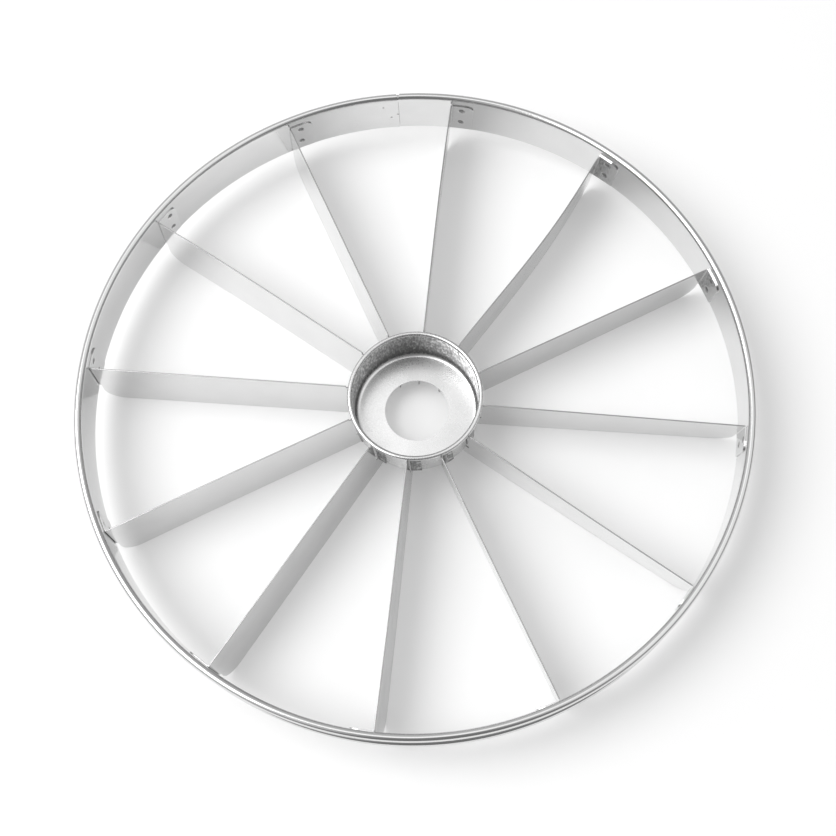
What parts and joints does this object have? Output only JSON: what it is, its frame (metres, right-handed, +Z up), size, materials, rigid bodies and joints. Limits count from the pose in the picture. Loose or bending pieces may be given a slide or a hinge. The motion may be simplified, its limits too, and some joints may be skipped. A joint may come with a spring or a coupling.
{
  "type": "cake portion marker",
  "caption": "Flat round sheet-metal ring with rolled edges, thin radial blades and a small cup hub, pressed onto a round cake to mark equal portions.",
  "frame": {"origin": "on the ring's axis, in the plane of the blades' lower edges", "axes": "+Z up along the ring's axis, +X along one blade"},
  "size_m": [0.27, 0.27, 0.0349],
  "materials": {
    "ring_steel": "bright rolled",
    "blade_steel": "bright rolled",
    "hub_steel": "drawn, satin",
    "wire_steel": "drawn wire",
    "weld_steel": "spot-weld dents"
  },
  "bodies": {
    "root": {"blade_01": "blade_steel", "blade_02": "blade_steel", "blade_03": "blade_steel", "blade_04": "blade_steel", "blade_05": "blade_steel", "blade_06": "blade_steel", "blade_07": "blade_steel", "blade_08": "blade_steel", "blade_09": "blade_steel", "blade_10": "blade_steel", "blade_11": "blade_steel", "blade_12": "blade_steel", "bottom_rim_wire": "wire_steel", "hub_cup": "hub_steel", "hub_tab_welds": "weld_steel", "ring_band": "ring_steel", "ring_tab_welds": "weld_steel", "seam_welds": "weld_steel", "top_rim_wire": "wire_steel"}
  },
  "joints": []
}
